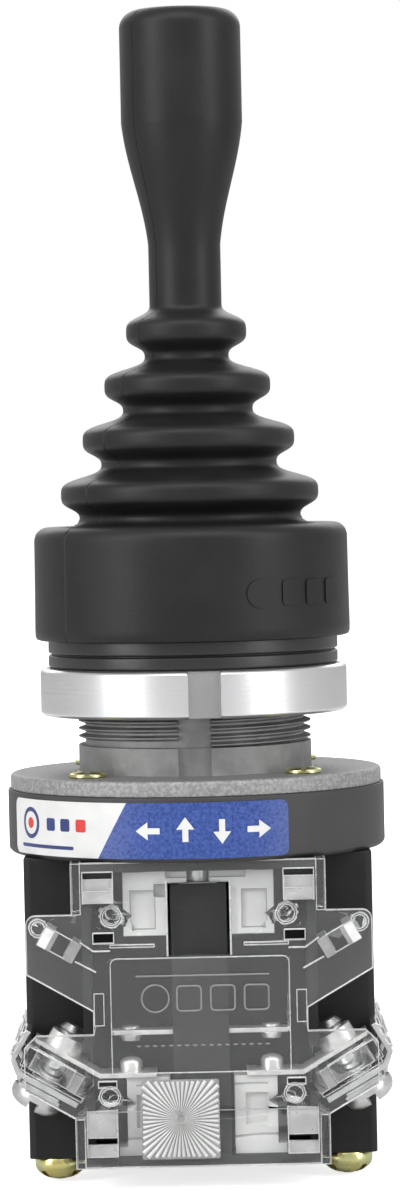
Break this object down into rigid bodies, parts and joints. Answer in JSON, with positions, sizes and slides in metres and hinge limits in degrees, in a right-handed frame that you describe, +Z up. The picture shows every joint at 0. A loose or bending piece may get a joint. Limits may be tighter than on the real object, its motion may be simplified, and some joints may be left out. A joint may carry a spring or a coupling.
{
  "type": "industrial joystick",
  "caption": "Panel-mounted industrial joystick: rubber-booted lever on a threaded collar over a stack of clear-covered contact blocks.",
  "frame": {"origin": "on the collar's axis at the disc's top face, where the panel sits", "axes": "+Z up along the collar to the grip, -Y towards the keyway and the front cover, +X to the right"},
  "size_m": [0.0486, 0.0486, 0.1486],
  "materials": {
    "zinc": "matt die-cast zinc",
    "brass": "yellow passivated",
    "black_plastic": "moulded, satin",
    "white_plastic": "moulded",
    "steel": "plain",
    "rubber": "moulded, satin",
    "spring_steel": "bright wire",
    "clear_plastic": "clear moulded",
    "contact_metal": "silver plated",
    "nickel": "bright plated",
    "turned_metal": "fine turned"
  },
  "bodies": {
    "base": {"threaded_collar": "zinc", "flange_disc": "zinc", "disc_screws": "brass", "base_ring": "black_plastic", "pusher_guide": "white_plastic", "gate_plate": "steel", "bezel_ring": "black_plastic", "boot_skirt": "rubber", "boot_bellows": "rubber", "gimbal_pins": "steel", "return_springs": "spring_steel", "corner_springs": "spring_steel", "front_housing": "black_plastic", "rear_housing": "black_plastic", "cover_front": "clear_plastic", "cover_rear": "clear_plastic", "inner_covers": "clear_plastic", "carrier_guides": "white_plastic", "terminal_strips": "contact_metal", "fixed_contacts": "contact_metal", "terminal_screws": "nickel", "saddle_clamps": "nickel", "long_screws": "brass"},
    "gimbal": {"gimbal_ring": "steel"},
    "lever": {"grip": "rubber", "lever_shaft": "steel", "lever_hub": "steel", "hub_pin": "steel", "actuator_plate": "steel", "plate_clip": "spring_steel"},
    "nut": {"ring_nut": "turned_metal"},
    "front_contact": {"pusher_front": "steel", "carrier_front": "white_plastic", "bridge_front": "contact_metal", "moving_contacts_front": "contact_metal", "contact_spring_front": "spring_steel"},
    "rear_contact": {"pusher_rear": "steel", "carrier_rear": "white_plastic", "bridge_rear": "contact_metal", "moving_contacts_rear": "contact_metal", "contact_spring_rear": "spring_steel"},
    "left_contact": {"pusher_left": "steel", "carrier_left": "white_plastic", "bridge_left": "contact_metal", "moving_contacts_left": "contact_metal", "contact_spring_left": "spring_steel"},
    "right_contact": {"pusher_right": "steel", "carrier_right": "white_plastic", "bridge_right": "contact_metal", "moving_contacts_right": "contact_metal", "contact_spring_right": "spring_steel"}
  },
  "joints": [
    {"name": "tilt_front_rear", "type": "hinge", "parent": "base", "child": "gimbal", "pos_m": [0, 0, 0.013], "axis": [1, 0, 0], "range_deg": [-12, 12], "stiffness_Nm_per_rad": 1.2, "deforming": ["boot_bellows"]},
    {"name": "tilt_left_right", "type": "hinge", "parent": "gimbal", "child": "lever", "pos_m": [0, 0, 0.013], "axis": [0, 1, 0], "range_deg": [-12, 12], "stiffness_Nm_per_rad": 1.2, "deforming": ["boot_bellows"]},
    {"name": "nut_travel", "type": "slide", "parent": "base", "child": "nut", "axis": [0, 0, 1], "range_m": [-0.0038, 0]},
    {"name": "front_contact_travel", "type": "slide", "parent": "base", "child": "front_contact", "axis": [0, 0, 1], "range_m": [-0.00198, 0.00198], "deforming": ["return_springs", "corner_springs"]},
    {"name": "rear_contact_travel", "type": "slide", "parent": "base", "child": "rear_contact", "axis": [0, 0, 1], "range_m": [-0.00198, 0.00198], "deforming": ["return_springs", "corner_springs"]},
    {"name": "left_contact_travel", "type": "slide", "parent": "base", "child": "left_contact", "axis": [0, 0, 1], "range_m": [-0.00198, 0.00198], "deforming": ["return_springs", "corner_springs"]},
    {"name": "right_contact_travel", "type": "slide", "parent": "base", "child": "right_contact", "axis": [0, 0, 1], "range_m": [-0.00198, 0.00198], "deforming": ["return_springs", "corner_springs"]}
  ],
  "couplings": [
    {"joint": "front_contact_travel", "follows": "tilt_front_rear", "m_per_rad": -0.00944},
    {"joint": "rear_contact_travel", "follows": "tilt_front_rear", "m_per_rad": 0.00944},
    {"joint": "left_contact_travel", "follows": "tilt_left_right", "m_per_rad": 0.00944},
    {"joint": "right_contact_travel", "follows": "tilt_left_right", "m_per_rad": -0.00944}
  ]
}
